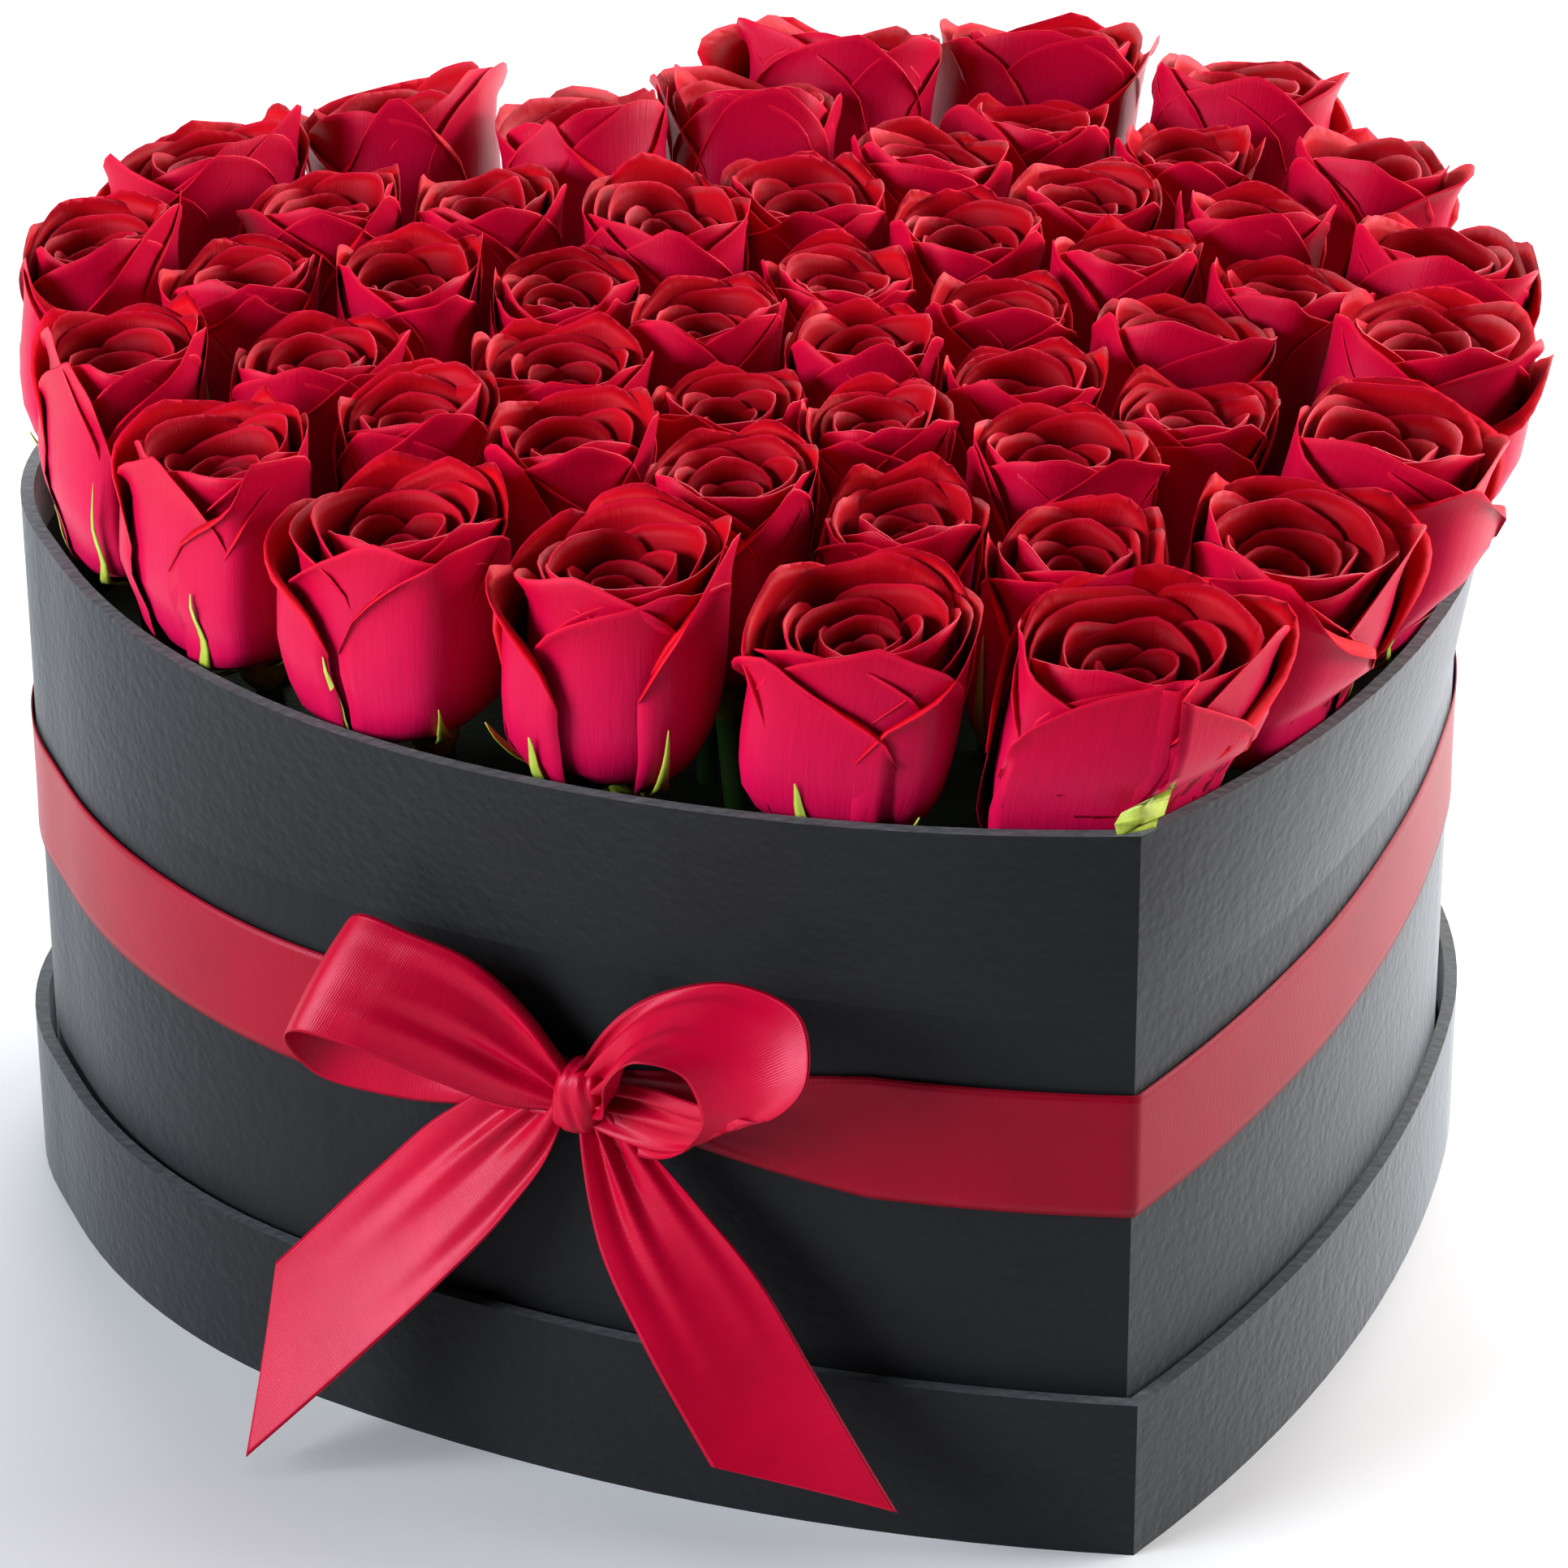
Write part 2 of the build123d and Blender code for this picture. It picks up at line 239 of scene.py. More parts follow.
def tray_film():
    """Thin black moulded plastic."""
    finish = Finish("tray_film", Roughness=0.35)
    ripple = finish.noise(45, detail=2)
    finish.feed("Base Color", finish.blend(ripple, (0.014, 0.014, 0.016, 1), (0.03, 0.03, 0.033, 1)))
    finish.feed("Normal", finish.bump(ripple, 0.0008, 0.5))
    return finish.material


def foam_painted_shade():
    """Open-celled green foam, darker in damp patches, and painted near black all over as shade in the gaps
    between the heads.
    """
    finish = Finish("foam_painted_shade", Roughness=0.8)
    cells = finish.node("ShaderNodeTexVoronoi", {}, {"Vector": finish.places(), "Scale": 900.0})
    damp = finish.noise(30, detail=4)
    # painted shade: both foam colours are set near black so the gaps between the heads read as shade
    finish.feed("Base Color", finish.blend(damp, (0.006, 0.020, 0.009, 1), (0.016, 0.042, 0.020, 1)))
    finish.feed("Normal", finish.bump(cells, 0.0003, 0.8))
    return finish.material


def green_stem(name, low, high):
    """Waxy green skin with fine lengthwise streaks."""
    finish = Finish(name, Roughness=0.42, Specular_IOR_Level=0.5)
    streaks = finish.noise(1.0, finish.stretched(finish.places(), (900, 900, 60)))
    finish.feed("Base Color", finish.blend(streaks, low, high))
    finish.feed("Normal", finish.bump(streaks, 0.00012, 0.5))
    return finish.material


def rose_petal():
    """Velvet red inside, painted darker towards each petal's base and on the inner petals as shade in the
    cup; paler and pinker on the back, with faint veins and a worn edge.
    """
    finish = Finish(
        "rose_petal",
        Sheen_Weight=0.04,
        Sheen_Roughness=0.3,
        Sheen_Tint=(1.0, 0.15, 0.35, 1),
        Specular_IOR_Level=0.16,
        Specular_Tint=(1.0, 0.35, 0.5, 1),
    )
    back, height = finish.kept("petal_back"), finish.kept("petal_height")
    depth = finish.kept("petal_depth")
    skin = finish.along("petal_across", "petal_height", "petal_depth")
    veins = finish.noise(1.0, finish.stretched(skin, (46, 5, 90)), detail=4)
    mottle = finish.noise(70, detail=4)
    # painted shade: each petal's face darkens towards its base and on the inner petals, standing in for shade
    # deep in the cup
    lit = height**2.8 * (0.36 + 0.64 * depth)
    face = finish.blend(lit, (0.016, 0.0, 0.002, 1), (0.70, 0.0002, 0.006, 1))
    face = finish.blend((mottle * 1.8 - 0.55).held() * 0.45, face, (0.26, 0.0, 0.010, 1))
    under = finish.blend(height, (0.50, 0.004, 0.075, 1), (0.46, 0.0004, 0.022, 1))
    under = finish.blend((veins * 2 - 0.6).held() * 0.5, under, (0.34, 0.0006, 0.022, 1))
    colour = finish.blend(back, face, under)
    rim = ((height - 0.965) * 40).held()
    colour = finish.blend(rim * 0.35, colour, (0.74, 0.008, 0.05, 1))
    finish.feed("Base Color", colour)
    finish.feed("Roughness", 0.50 - back * 0.12 + mottle * 0.10)
    finish.feed("Normal", finish.bump(veins * 0.5 + mottle, 0.00035, 0.4))
    return finish.material


def satin(name, low, high):
    """Woven satin: fine ribs across, corded edges."""
    finish = Finish(name, Specular_IOR_Level=0.26, Specular_Tint=(1.0, 0.40, 0.54, 1))
    length, across = finish.kept("ribbon_length"), finish.kept("ribbon_across")
    ribs = (length * 2 * pi * 2200).sine()
    edge = ((across.away() - 0.93) * 16).held()
    weave = finish.along("ribbon_length", "ribbon_across", "ribbon_across")
    slub = finish.noise(1.0, finish.stretched(weave, (2600, 3, 0)), detail=2)
    tone = finish.noise(38, detail=3)
    colour = finish.blend((tone * 1.6 - 0.3).held(), low, high)
    colour = finish.blend(edge * 0.35, colour, low)
    finish.feed("Base Color", finish.blend((slub * 1.4 - 0.4).held() * 0.25, colour, high))
    finish.feed("Roughness", 0.29 + slub * 0.1 + edge * 0.12)
    finish.feed("Normal", finish.bump(ribs * 0.35 + slub + (edge * pi).sine() * 3, 0.00005, 0.5))
    return finish.material


paper_black, paper_lining, board_grey, film = embossed_paper(), lining_paper(), greyboard(), tray_film()
petal = rose_petal()
bow_satin = satin("satin_bow", (0.29, 0.0002, 0.012, 1), (0.46, 0.0003, 0.026, 1))
# painted shade: the belt's satin is the bow's satin made darker, as the belt faces away from the light while
# the loops face up into it
belt_satin_shaded = satin("satin_belt_shaded", (0.18, 0.0001, 0.007, 1), (0.26, 0.0002, 0.012, 1))
foam_green = foam_painted_shade()
stem_green = green_stem("rose_stem", (0.025, 0.075, 0.012, 1), (0.06, 0.14, 0.03, 1))
calyx_green = green_stem("rose_calyx", (0.20, 0.30, 0.02, 1), (0.52, 0.56, 0.07, 1))


def dress(material, *names):
    """Give whole CAD nodes a finish."""
    for name in names:
        slots = nodes[name].data.materials
        slots.clear()
        slots.append(material)


rings = ("outer", "second", "third", "inner")
dress(paper_black, "lid_base_paper", "lid_wrap", "box_base_paper", "box_wrap")
dress(paper_lining, "lid_lining", "box_lining")
dress(board_grey, "lid_panel_board", "lid_rim_board", "box_floor_board", "box_wall_board")
dress(film, "waterproof_tray")
dress(foam_green, "floral_foam_left", "floral_foam_right")
for ring in rings:
    dress(stem_green, f"rose_stems_{ring}")
    dress(calyx_green, f"rose_calyces_{ring}")


# ---------------------------------------------------------------- making pieces
def piece(name, shape, material, body):
    """Turn a finished bmesh into a piece that rides on a body."""
    mesh = bpy.data.meshes.new(name)
    shape.to_mesh(mesh)
    shape.free()
    return settle_piece(name, mesh, material, body)


def settle_piece(name, mesh, material, body):
    mesh.materials.clear()
    mesh.materials.append(material)
    mesh.polygons.foreach_set("use_smooth", [True] * len(mesh.polygons))
    made = bpy.data.objects.new(name, mesh)
    bpy.context.scene.collection.objects.link(made)
    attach(made, body)
    return made


def points_of(mesh):
    values = np.zeros(len(mesh.vertices) * 3)
    mesh.vertices.foreach_get("co", values)
    return values.reshape(-1, 3)


def put_points(mesh, values):
    mesh.vertices.foreach_set("co", np.asarray(values, float).ravel())
    mesh.update()


def add_slab(shape, across, along, number=0.0):
    """A flat slab of unit thickness: x and y run -1..1, z runs 0..1.

    Its points keep these three and a number.
    """
    layers = shape.verts.layers.float
    keeps = [layers.get(key) or layers.new(key) for key in ("x", "y", "z", "number")]
    made = bmesh.ops.create_grid(shape, x_segments=across, y_segments=along, size=1.0)["verts"]
    faces = list({face for vert in made for face in vert.link_faces})
    risen = bmesh.ops.extrude_face_region(shape, geom=faces, use_keep_orig=True)["geom"]
    top = [item for item in risen if isinstance(item, bmesh.types.BMVert)]
    bmesh.ops.translate(shape, verts=top, vec=(0, 0, 1))
    bmesh.ops.reverse_faces(shape, faces=faces)
    for vert in made + top:
        for layer, value in zip(keeps, (*vert.co, number)):
            vert[layer] = value
    return made + top


def slab_mesh(name, slabs):
    """One mesh of separate slabs, given as (across, along) counts."""
    shape = bmesh.new()
    for number, (across, along) in enumerate(slabs):
        add_slab(shape, across, along, number)
    bmesh.ops.recalc_face_normals(shape, faces=shape.faces)
    mesh = bpy.data.meshes.new(name)
    shape.to_mesh(mesh)
    shape.free()
    return mesh


def kept_values(mesh):
    """The numbers that a slab's points keep, as arrays x, y, z, number."""
    values = []
    for key in ("x", "y", "z", "number"):
        column = np.zeros(len(mesh.vertices))
        mesh.attributes[key].data.foreach_get("value", column)
        values.append(column)
    return values


def keep_values(mesh, **columns):
    """Store values on a mesh's points for its material."""
    for key, column in columns.items():
        layer = mesh.attributes.new(key, "FLOAT", "POINT")
        layer.data.foreach_set("value", np.asarray(column, np.float32))
    for key in ("x", "y", "z", "number"):
        mesh.attributes.remove(mesh.attributes[key])


# ---------------------------------------------------------------- the wall's outline
box_width, box_length, rim_height = 284.0, 272.0, 146.3
lobe_overlap, side_straight = 7.7, 14.0
lobe_radius = (box_width / 2 + lobe_overlap) / 2
lobe_x, lobe_y = lobe_radius - lobe_overlap, box_length / 2 - lobe_radius
point_y, side_y = -box_length / 2, lobe_y - side_straight


class Outline:
    """The heart that the wall follows: two arcs up each flank, an upright side, a round lobe."""

    def __init__(self, fullness):
        chord = atan2(box_width / 2, side_y - point_y)
        self.start, self.middle = fullness[0] * chord, fullness[1] * chord
        front_x, front_y = cos(self.middle) - cos(self.start), sin(self.start) - sin(self.middle)
        side_x, rise_y = 1 - cos(self.middle), sin(self.middle)
        run_x, run_y = box_width / 2, side_y - point_y
        scale = front_x * rise_y - side_x * front_y
        self.front_radius = (run_x * rise_y - side_x * run_y) / scale
        self.side_radius = (front_x * run_y - run_x * front_y) / scale
        front = self.front_radius * (self.start - self.middle)
        side = front + self.side_radius * self.middle
        upright = side + side_straight
        self.ends = (front, side, upright, upright + lobe_radius * pi / 2)
        self.half_run = self.ends[3] + lobe_x

    def at(self, run, out):
        """A point `out` from the wall, `run` round it from the heart's point: positive to the right.
        Past the top of the lobe it goes straight across the cleft."""
        hand, run = (1 if run >= 0 else -1), abs(run)
        front, side, upright, crest = self.ends
        if run < front:
            heading = self.start - run / self.front_radius
            x = self.front_radius * (cos(heading) - cos(self.start)) + out * cos(heading)
            y = point_y + self.front_radius * (sin(self.start) - sin(heading)) - out * sin(heading)
        elif run < side:
            heading = self.middle - (run - front) / self.side_radius
            x = box_width / 2 - self.side_radius * (1 - cos(heading)) + out * cos(heading)
            y = side_y - (self.side_radius + out) * sin(heading)
        elif run < upright:
            x, y = box_width / 2 + out, side_y + run - side
        elif run < crest:
            heading = (run - upright) / lobe_radius
            x, y = lobe_x + (lobe_radius + out) * cos(heading), lobe_y + (lobe_radius + out) * sin(heading)
        else:
            x, y = self.half_run - run, box_length / 2 + out
        return hand * x, y


wall, rim = Outline((1.633, 0.921)), Outline((1.85, 1.05))

# ---------------------------------------------------------------- where the roses stand
def loose_parts(node):
    """The corner points of each separate solid of a CAD node."""
    shape = bmesh.new()
    shape.from_mesh(nodes[node].data)
    bmesh.ops.remove_doubles(shape, verts=shape.verts, dist=1e-6)
    waiting, parts = set(shape.verts), []
    while waiting:
        reached = [waiting.pop()]
        for vert in reached:
            near = {edge.other_vert(vert) for edge in vert.link_edges} & waiting
            waiting -= near
            reached.extend(near)
        parts.append(np.array([vert.co for vert in reached]))
    shape.free()
    return parts


def stem_tops(ring):
    """(top, upward direction) of each stem, read from its two ends."""
    found = []
    for stem in loose_parts(f"rose_stems_{ring}"):
        high = stem[:, 2] > stem[:, 2].mean()
        top, bottom = stem[high].mean(0), stem[~high].mean(0)
        found.append((top / MM, (top - bottom) / np.linalg.norm(top - bottom)))
    return sorted(found, key=lambda item: (round(item[0][1], 1), item[0][0]))


roses = [(ring, number, top, axis) for ring in rings for number, (top, axis) in enumerate(stem_tops(ring))]

# ---------------------------------------------------------------- roses
petal_count = 21
inner_petals = 8
inner_grid, outer_grid = (12, 6), (16, 11)
petal_grids = [inner_grid] * inner_petals + [outer_grid] * (petal_count - inner_petals)
petal_thickness = 0.42
calyx_height = 8.0
bloom = slab_mesh("bloom", petal_grids)
bloom_x, bloom_y, bloom_z, bloom_number = kept_values(bloom)
keep_values(
    bloom,
    petal_across=bloom_x + bloom_number * 3.1,
    petal_height=(bloom_y + 1) / 2,
    petal_back=bloom_z,
    petal_depth=bloom_number / petal_count,
)


def bloom_points(chance, size, opening, lift):
    """A rose head in millimetres, its base at the origin and its axis up Z."""
    number = bloom_number.astype(int)
    rank = bloom_number / (petal_count - 1)
    pick = lambda low, high: chance.uniform(low, high, petal_count)[number]
    across, up = bloom_x, (bloom_y + 1) / 2
    # how far out and how high each petal's rim stands
    reach = (1.3 + 15.9 * rank**0.92) * size * pick(0.93, 1.07)
    reach *= 1 + (opening - 1) * rank
    height = (31 + 9.5 * np.sin(np.minimum(rank / 0.72, 1) * pi / 2) - 2.5 * rank**4) * lift + pick(-1.5, 1.5)
    half_angle = np.radians(150 - 84 * rank**0.55 + pick(-12, 12))
    turn = np.radians(137.5 * bloom_number + pick(-26, 26)) + chance.uniform(0, 2 * pi)
    # the cup, up to where the rim begins to roll
    roll_start = 0.70
    cup = np.minimum(up / roll_start, 1)
    root = 0.5 + 4.2 * rank
    root_height = 10 * (1 - rank) ** 1.5
    belly = (0.10 - 0.05 * rank) * reach
    radius = root + (reach - root) * (1 - (1 - cup) ** 2.7) + belly * np.sin(pi * cup)
    edge = np.abs(across)
    shoulder = height * (0.86 - (0.05 + 0.10 * rank) * edge**2.6 - 0.10 * edge**8)
    level = root_height + (shoulder - root_height) * (0.40 * cup + 0.60 * cup**1.7)
    # the rolled rim
    lean = -np.arctan2(pi * belly, shoulder * 1.4) - np.radians(14) * (1 - rank) ** 2
    strength = (0.45 + 1.85 * (np.maximum(rank - 0.35, 0) / 0.65) ** 1.2) * pick(0.75, 1.3)
    curl = strength * (0.42 + 0.58 * np.minimum(edge / 0.7, 1) ** 1.5)
    lip = (4.6 + 4.8 * rank) * size * (1 - 0.30 * edge**3 - 0.45 * edge**8)
    rolled = np.maximum(up - roll_start, 0) / (1 - roll_start)
    angle = lean + curl * rolled
    bend = lip / curl
    radius = radius + bend * (np.cos(lean) - np.cos(angle))
    level = level + bend * (np.sin(angle) - np.sin(lean))
    # a soft point in the middle, a wave along the rim, side edges turned out where they lie outside
    level += pick(0.6, 2.6) * rank * np.exp(-(((across - pick(-0.15, 0.15)) / 0.17) ** 2)) * up**4
    wave = np.sin(across * pick(3.5, 7.5) + pick(0, 6.3))
    radius += 0.75 * (0.3 + rank) * wave * up**3
    level += 0.7 * (0.3 + rank) * np.sin(across * pick(2.5, 5) + pick(0, 6.3)) * up**3
    radius += across * (0.35 + 0.042 * reach) * (0.25 + 0.75 * up)
    turned = np.maximum(across - 0.62, 0) / 0.38
    radius += turned**2 * (0.3 + 1.6 * rank**2) * np.sin(pi * np.minimum(up, 0.97) ** 1.3) * pick(0.2, 1.4)
    # thickness, laid on the back
    skin = petal_thickness * bloom_z
    radius += skin * np.cos(angle)
    level -= skin * np.sin(angle) + skin * 0.6 * (1 - cup)
    theta = turn + across * half_angle
    return np.column_stack([radius * np.cos(theta), radius * np.sin(theta), level])


def axes_for(axis):
    """A frame whose third direction is the rose's axis."""
    side = np.cross((0, 1, 0), axis)
    side /= np.linalg.norm(side)
    return np.column_stack([side, np.cross(axis, side), axis])


def pressed(points, own, others):
    """Petals pushed back from the halfway plane between a rose and each neighbour."""
    base, axis = own
    rise = (points[:, 2] - base[2]) / axis[2]
    centre = base[:2] + rise[:, None] * axis[:2]
    for other_base, other_axis in others:
        other_rise = (points[:, 2] - other_base[2]) / other_axis[2]
        gap = other_base[:2] + other_rise[:, None] * other_axis[:2] - centre
        distance = np.linalg.norm(gap, axis=1)
        towards = gap / distance[:, None]
        limit = distance / 2 - 0.15
        out = ((points[:, :2] - centre) * towards).sum(1)
        start = 0.54 * limit
        room_left = limit - start
        eased = start + room_left * (1 - np.exp(-np.maximum(out - start, 0) / room_left))
        points[:, :2] -= towards * np.where(out > start, out - eased, 0)[:, None]
    return points


# the rim's line away from the cleft, and the same line one millimetre out
wall_share, wall_samples = 0.86, 260
wall_runs = np.linspace(-wall_share, wall_share, wall_samples) * rim.half_run
wall_line = np.array([[rim.at(run, out) for run in wall_runs] for out in (0.0, 1.0)])


def walled(points):
    """Outer petals spread until they meet the wall, and are let out a little above the rim."""
    near = np.argmin(((points[:, None, :2] - wall_line[0]) ** 2).sum(2), axis=1)
    outward = (wall_line[1] - wall_line[0])[near]
    points[:, :2] += outward * (3.5 * np.clip((points[:, 2] - rim_height + 14) / 12, 0, 1))[:, None]
    room_left = ((wall_line[0][near] - points[:, :2]) * outward).sum(1)
    over = np.clip((points[:, 2] - rim_height - 1.5) / 14, 0, 1)
    let_out = 5.2 + 4.0 * np.clip(outward[:, 0] * 1.5, -0.6, 1) + 3.0 * np.clip(outward[:, 1], 0, 1)
    wanted = 3.2 - (3.2 + let_out) * over * over * (3 - 2 * over)
    ease = 5 + 4 * over
    short = wanted + ease - room_left
    back = np.where(short > 0, short - ease * (1 - np.exp(-np.maximum(short, 0) / ease)), 0)
    points[:, :2] -= outward * back[:, None]
    return points


def swayed(points):
    """Above the rim the heads lean to the right, and those by the cleft stand up and lean back over it."""
    above = np.maximum(points[:, 2] - rim_height - 2, 0)
    cleft = np.exp(-(((points[:, 0] + 8) / 52) ** 2)) * np.clip((points[:, 1] - 35) / 45, 0, 1)
    back_left = np.clip((points[:, 1] - 10) / 70, 0, 1) * np.clip((20 - points[:, 0]) / 60, 0, 1)
    points[:, 0] += 0.15 * above
    points[:, 1] += 0.24 * above * cleft
    points[:, 2] += np.minimum(above / 14, 1) * np.maximum(8 * cleft, 5 * back_left)
    return points


chance = np.random.default_rng(5)
settled = []
for ring, number, top, axis in roses:
    base = top + axis * calyx_height
    near = [(t + a * calyx_height, a) for _, _, t, a in roses if 0 < np.linalg.norm(t[:2] - top[:2]) < 60]
    size = {"outer": 1.34, "second": 1.10, "third": 1.03, "inner": 1.0}[ring] * chance.uniform(0.92, 1.07)
    opening, lift = chance.uniform(0.92, 1.25), chance.uniform(0.95, 1.05)
    settled.append((ring, top, axis, base, near, 17.2 * size * opening, 32.7 * lift))
    points = pressed(bloom_points(chance, size, opening, lift) @ axes_for(axis).T + base, (base, axis), near)
    if ring == "outer":
        points = walled(points)
    mesh = bloom.copy()
    put_points(mesh, swayed(points) * MM)
    rose = settle_piece(f"rose_{ring}_{number:02d}", mesh, petal, "arrangement")
    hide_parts(f"rose_heads_{ring}")


# ---------------------------------------------------------------- sepals
sepal_grid = (2, 11)
sepals_each = 5
for ring in rings:
    own = [rose for rose in settled if rose[0] == ring]
    mesh = slab_mesh(f"sepals_{ring}", [sepal_grid] * (sepals_each * len(own)))
    across, up, back, number = kept_values(mesh)
    up = (up + 1) / 2
    which = number.astype(int)
    draw = lambda low, high: chance.uniform(low, high, sepals_each * len(own))[which]
    half = 2.4 * (1 - up) ** 0.8 * (0.45 + 0.55 * np.minimum(up * 5, 1)) + 0.12
    reach, shoulder = (np.array([rose[place] for rose in own])[which // sepals_each] for place in (5, 6))
    # each sepal lies on the cup, and its tip comes away
    cup = up * draw(0.42, 0.98)
    swell = 1 - (1 - cup) ** 2.7
    out = 5.2 + (reach - 4.7) * swell + 0.05 * reach * np.sin(pi * cup) + 0.9 + draw(0.0, 4.0) * up**3
    level = shoulder * (0.40 * cup + 0.60 * cup**1.7) - 1.2 * (1 - up)
    out += back * 0.5 - 0.35 * across**2 * (1 - up)
    turn = 2 * pi * number / sepals_each + draw(-0.3, 0.3)
    sideways = across * half + draw(-4, 4) * up**2
    plan_x = out * np.cos(turn) - sideways * np.sin(turn)
    plan_y = out * np.sin(turn) + sideways * np.cos(turn)
    flat = np.column_stack([plan_x, plan_y, level])
    for index, (_, top, axis, base, near, _, _) in enumerate(own):
        mine = which // sepals_each == index
        flat[mine] = pressed(flat[mine] @ axes_for(axis).T + base, (base, axis), near)
    if ring == "outer":
        flat = walled(flat)
    keep_values(mesh, petal_height=up)
    put_points(mesh, swayed(flat) * MM)
    settle_piece(f"sepals_{ring}", mesh, calyx_green, "arrangement")


# ---------------------------------------------------------------- ribbon
ribbon_width = 25.0
belt_height, belt_rise_back, belt_rise_right = 82.2, 0.040, 0.024
knot_run = -99.5
satin_skin = 0.32


def belt():
    """The ribbon round the box: gathered under the knot, a little slack along its edges."""
    mesh = slab_mesh("ribbon_belt", [(520, 12)])
    x, y, z, _ = kept_values(mesh)
    run = (x * 0.9995) * wall.half_run
    ordered = np.unique(np.round(run, 4))
    line = {value: wall.at(value, 0.25) for value in ordered}
    outer = {value: wall.at(value, 1.25) for value in ordered}
    away = np.abs(run - knot_run)
    right_of_knot = run > knot_run
    spread = np.where(right_of_knot, 52.0, 44.0)
    pinch = np.clip(away / spread, 0, 1) ** 0.8
    half = ribbon_width / 2 * (0.30 + 0.70 * pinch)
    folds = (1 - pinch) * np.sin(y * 9 + away * 0.05) * 0.9 * (away > 3)
    ripple = pi / wall.half_run
    wander = 0.35 * np.sin(3 * ripple * run) + 0.2 * np.sin(8 * ripple * run + 1)
    lift = satin_skin * z + 0.15 + np.maximum(folds, -0.3) + 0.3 * (1 - pinch)
    lift = lift + 0.12 * np.sin(9 * ripple * run) ** 2 * y**2
    points = np.zeros((len(run), 3))
    for index, value in enumerate(np.round(run, 4)):
        near, far = line[value], outer[value]
        plan = (near[0] + (far[0] - near[0]) * lift[index], near[1] + (far[1] - near[1]) * lift[index])
        middle_height = belt_height + belt_rise_back * (near[1] - point_y) + belt_rise_right * near[0]
        points[index] = (*plan, middle_height + wander[index] + half[index] * y[index])
    keep_values(mesh, ribbon_length=run * MM, ribbon_across=y)
    put_points(mesh, points * MM)
    made = settle_piece("satin_belt_shaded", mesh, belt_satin_shaded, "box")
    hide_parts("ribbon_belt")
    2 * wall.half_run * MM


belt()

# The bow's own frame: along the wall towards the heart's point, up, and outwards.
bow_base = np.array((-85.78, -70.25, 0.0))
bow_along, bow_out = np.array((0.6861, -0.7275, 0.0)), np.array((-0.7275, -0.6861, 0.0))
upright = np.array((0.0, 0.0, 1.0))
# the knot's centre and half sizes: along the wall, up, and out from it
knot_centre, knot_half = (9.5, 84.5, 6.4), (5.4, 6.9, 5.0)


def smooth_through(stations, steps):
    """Values eased through a list of stations, evenly spread by distance along them."""
    stations = np.asarray(stations, float)
    gaps = np.linalg.norm(np.diff(stations[:, :3], axis=0), axis=1)
    knots = np.concatenate([[0], np.cumsum(np.maximum(gaps, 1e-6))])
    slopes = np.gradient(stations, knots, axis=0)
    wanted = np.linspace(0, knots[-1], steps)
    index = np.clip(np.searchsorted(knots, wanted) - 1, 0, len(knots) - 2)
    width = (knots[index + 1] - knots[index])[:, None]
    part = ((wanted - knots[index])[:, None]) / width
    first, second = stations[index], stations[index + 1]
    return (
        (2 * part**3 - 3 * part**2 + 1) * first
        + (part**3 - 2 * part**2 + part) * width * slopes[index]
        + (3 * part**2 - 2 * part**3) * second
        + (part**3 - part**2) * width * slopes[index + 1]
    )


def bow_ribbon(name, node, stations, folds=1.0, slant=0.0):
    """A length of satin. Each station is its middle, half of its width as a vector, and how gathered it is:
    (along, up, out, half along, half up, half out, gather)."""
    steps, strips = 110, 26
    mesh = slab_mesh(name, [(steps - 1, strips)])
    x, y, z, _ = kept_values(mesh)
    table = smooth_through(stations, 400)
    run = np.concatenate([[0], np.cumsum(np.linalg.norm(np.diff(table[:, :3], axis=0), axis=1))])
    headings = np.gradient(table[:, :3], axis=0)
    part = (x + 1) / 2
    place = part * (1 - slant * (1 - y) * part**2)
    columns = [np.interp(place * 399, np.arange(400), table[:, i]) for i in range(7)]
    forward = np.column_stack([np.interp(place * 399, np.arange(400), headings[:, i]) for i in range(3)])
    centre, half = np.column_stack(columns[:3]), np.column_stack(columns[3:6])
    gather = columns[6]
    face = np.cross(half, forward)
    face /= np.linalg.norm(face, axis=1)[:, None]
    fold = folds * gather * (1.5 * np.sin(y * 9.5 + 0.4) + 0.6 * np.sin(y * 15 + 1.0 + 4 * place))
    cup = 0.7 * (1 - y**2) * (1 - gather)
    local = centre + half * y[:, None] + face * (fold + cup + (z - 0.5) * satin_skin)[:, None]
    points = bow_base + local[:, :1] * bow_along + local[:, 1:2] * upright + local[:, 2:3] * bow_out
    keep_values(mesh, ribbon_length=place * run[-1] * MM, ribbon_across=y)
    put_points(mesh, points * MM)
    flip = bmesh.new()
    flip.from_mesh(mesh)
    bmesh.ops.recalc_face_normals(flip, faces=flip.faces)
    flip.to_mesh(mesh)
    flip.free()
    made = settle_piece(name, mesh, bow_satin, "box")
    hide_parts(node)
    return made


bow_ribbon("satin_loop_left", "bow_loop_left", [
    (7, 85, 7.5, 0.6, 5.2, 1.0, 1.0),
    (-2, 90, 9, 1.8, 9.6, -1.0, 0.7),
    (-14, 98, 13, 3.8, 10.8, -3.6, 0.3),
    (-27, 103, 16, 4.4, 9.6, -5.6, 0.1),
    (-37, 104, 16, 4.4, 10.2, -5.8, 0.0),
    (-41.5, 98.5, 12, 4.4, 11.0, -4.4, 0.0),
    (-40, 90.5, 8, 3.2, 11.8, -2.6, 0.0),
    (-28, 87.2, 5.5, 1.2, 12.3, -0.8, 0.05),
    (-14, 87, 4.8, 0.6, 11.2, 0.0, 0.3),
    (0, 85.5, 5.0, 0.4, 8.0, 0.0, 0.7),
    (7, 84, 5.5, 0.3, 5.0, 0.0, 1.0),
])
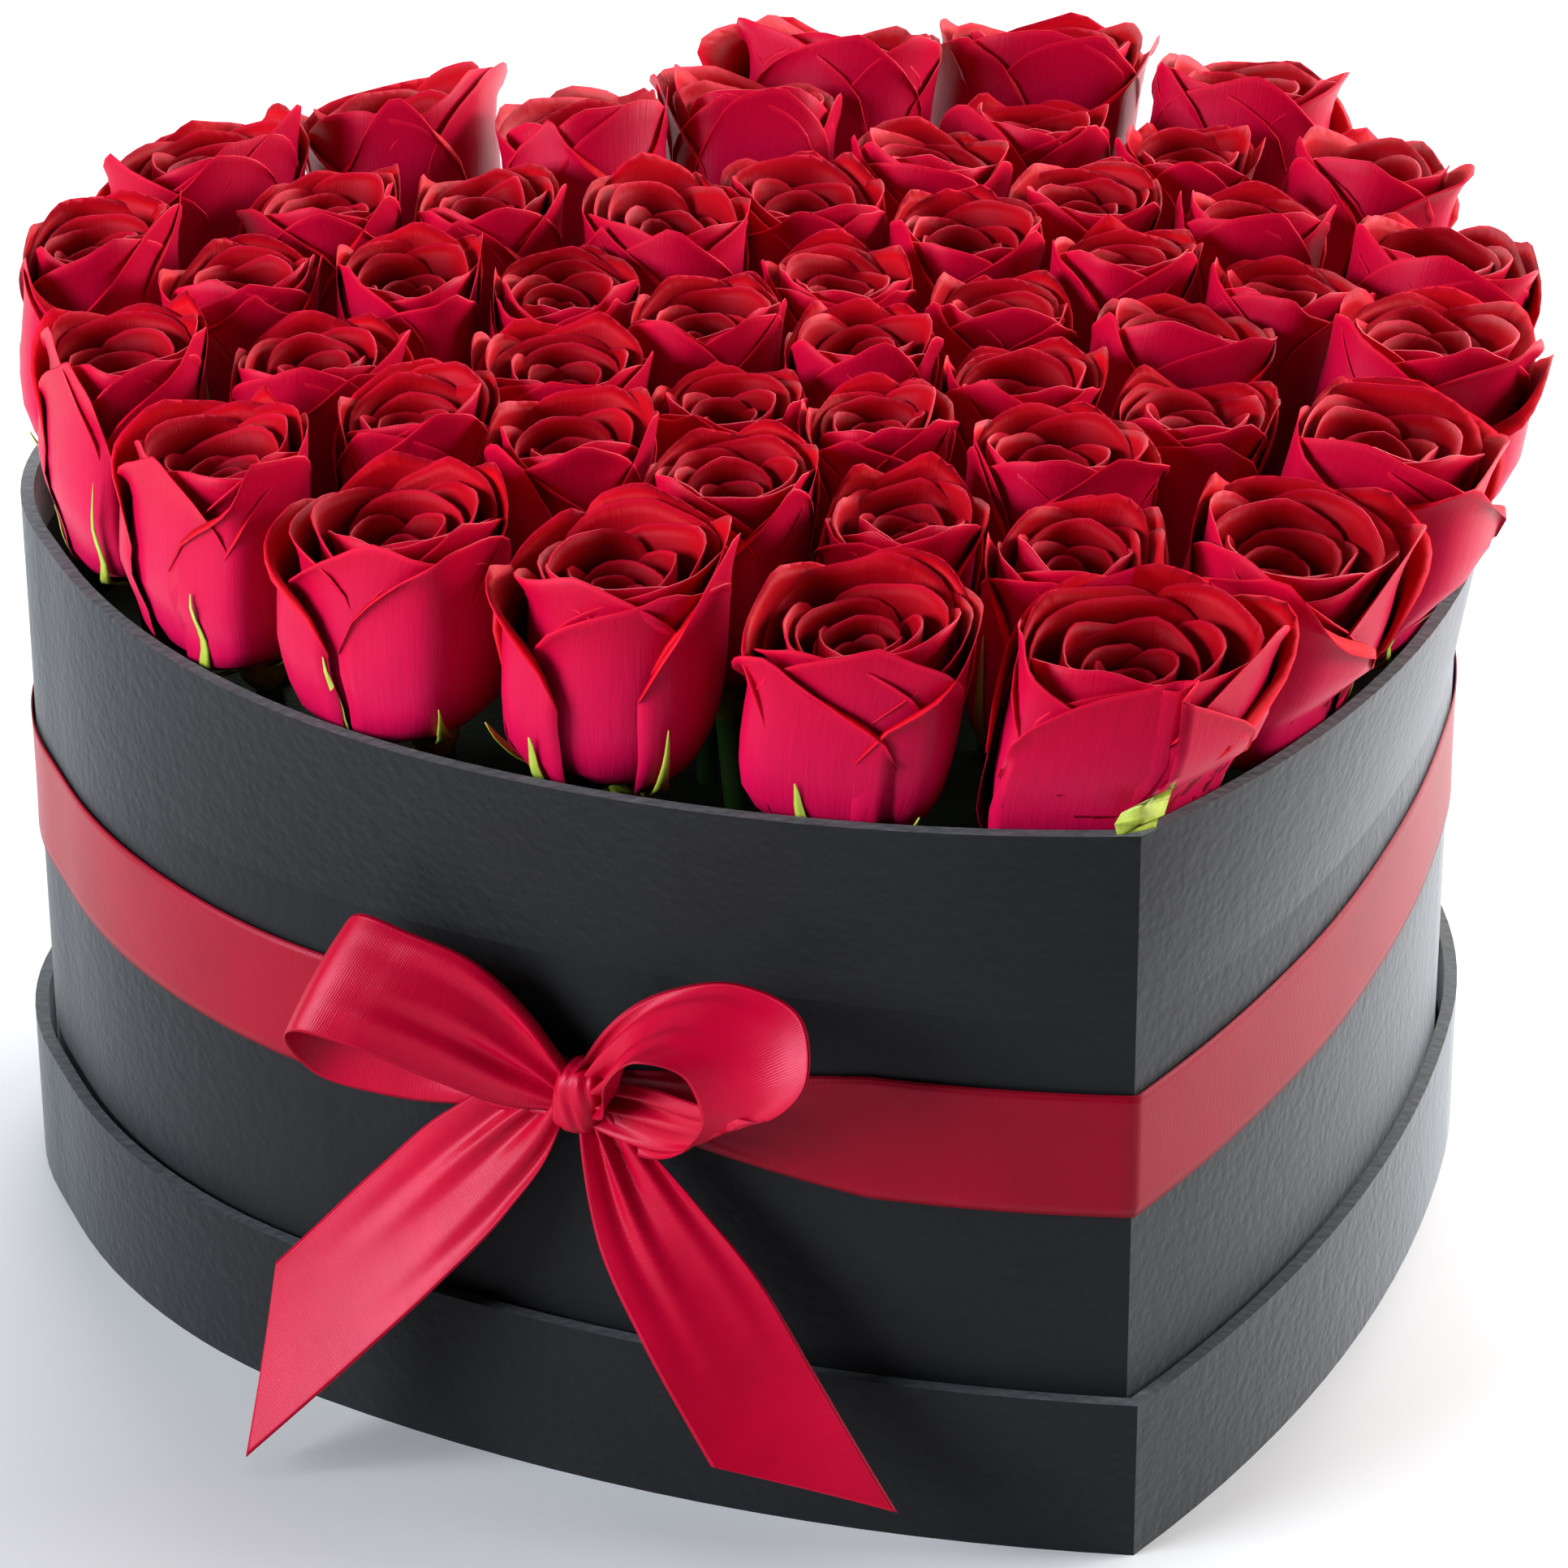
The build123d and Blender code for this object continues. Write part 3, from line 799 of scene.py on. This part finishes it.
bow_ribbon("satin_loop_right", "bow_loop_right", [
    (11, 86, 8, -1.0, 5.0, 1.0, 1.0),
    (17, 93, 11, -0.5, 8.0, -2.5, 0.7),
    (25, 104, 15, 2.6, 6.2, -7.6, 0.3),
    (36, 110.5, 17, 6.2, 4.8, -8.8, 0.08),
    (47, 108.5, 18, 9.0, 5.6, -5.0, 0.0),
    (50, 100, 20, 9.8, 6.0, -1.0, 0.0),
    (44, 91, 19, 9.4, 6.4, 2.0, 0.05),
    (33, 86, 14, 6.4, 8.4, 3.0, 0.3),
    (20, 84, 9.5, 1.6, 7.6, 1.0, 0.75),
    (11, 83.5, 7.5, 0.0, 5.0, 0.2, 1.0),
])
bow_ribbon("satin_tail_left", "bow_tail_left", [
    (4, 83, 5.5, 3.6, 2.0, 1.0, 1.0),
    (-1, 78, 6.0, 5.6, -3.6, 1.8, 0.8),
    (-11, 67, 8.5, 7.4, -7.4, 2.8, 0.35),
    (-24, 52, 12.5, 8.2, -8.2, 4.4, 0.1),
    (-38, 36, 18, 8.4, -8.0, 4.8, 0.0),
    (-50, 22.5, 22, 8.6, -7.6, 4.6, 0.0),
    (-60, 11.5, 25, 8.8, -7.4, 4.4, 0.0),
], slant=0.135)
bow_ribbon("satin_tail_right", "bow_tail_right", [
    (13, 82, 7, 3.8, 1.6, 0.5, 1.0),
    (17, 76, 9, 5.8, 2.2, -1.0, 0.8),
    (25, 64, 12, 8.2, 4.4, -3.6, 0.35),
    (36, 50, 14, 8.9, 5.8, -5.8, 0.1),
    (47, 35, 16, 9.0, 6.2, -6.0, 0.0),
    (57, 22, 18, 9.0, 6.4, -5.8, 0.0),
    (66, 10.5, 19.5, 9.0, 6.4, -5.6, 0.0),
], slant=0.135)


def knot():
    """A short wrap of ribbon pulled tight: a waisted ring with lengthwise creases."""
    shape = bmesh.new()
    bmesh.ops.create_uvsphere(shape, u_segments=64, v_segments=40, radius=1.0)
    length = shape.verts.layers.float.new("ribbon_length")
    across = shape.verts.layers.float.new("ribbon_across")
    for vert in shape.verts:
        x, y, z = vert.co
        turn = atan2(y, x)
        block = (abs(x) ** 3 + abs(y) ** 3 + abs(z) ** 3) ** (-1 / 3)
        lean = 4.6 * (x * block + 0.22 * z * block) + 0.5 * sin(2.6 * z)
        crease = 1 + 0.14 * (abs(sin(lean)) ** 0.6 - 0.6) + 0.03 * sin(3 * lean + 4 * z)
        waist = 1 - 0.10 * (1 - min(abs(z), 1) ** 2)
        local = (
            x * block * knot_half[0] * waist,
            z * block * knot_half[1] * (1 + 0.3 * (crease - 1)),
            y * block * knot_half[2] * crease,
        )
        vert[length], vert[across] = turn * 6 * MM, max(-1, min(1, z))
        spot = bow_base + (knot_centre[0] + local[0] + 0.12 * local[1]) * bow_along
        spot = spot + (knot_centre[1] + local[1]) * upright + (knot_centre[2] + local[2]) * bow_out
        vert.co = spot * MM
    bmesh.ops.recalc_face_normals(shape, faces=shape.faces)
    made = piece("satin_knot", shape, bow_satin, "box")
    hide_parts("bow_knot")


knot()

# ---------------------------------------------------------------- table top
table_half = 6.0
table = bmesh.new()
bmesh.ops.create_grid(table, x_segments=1, y_segments=1, size=table_half)
table_mesh = bpy.data.meshes.new("table_top")
table.to_mesh(table_mesh)
table.free()
table_top = bpy.data.objects.new("table_top", table_mesh)
bpy.context.scene.collection.objects.link(table_top)
pale = Finish("pale_table", Base_Color=(0.72, 0.72, 0.73, 1), Roughness=0.7)
table_mesh.materials.append(pale.material)
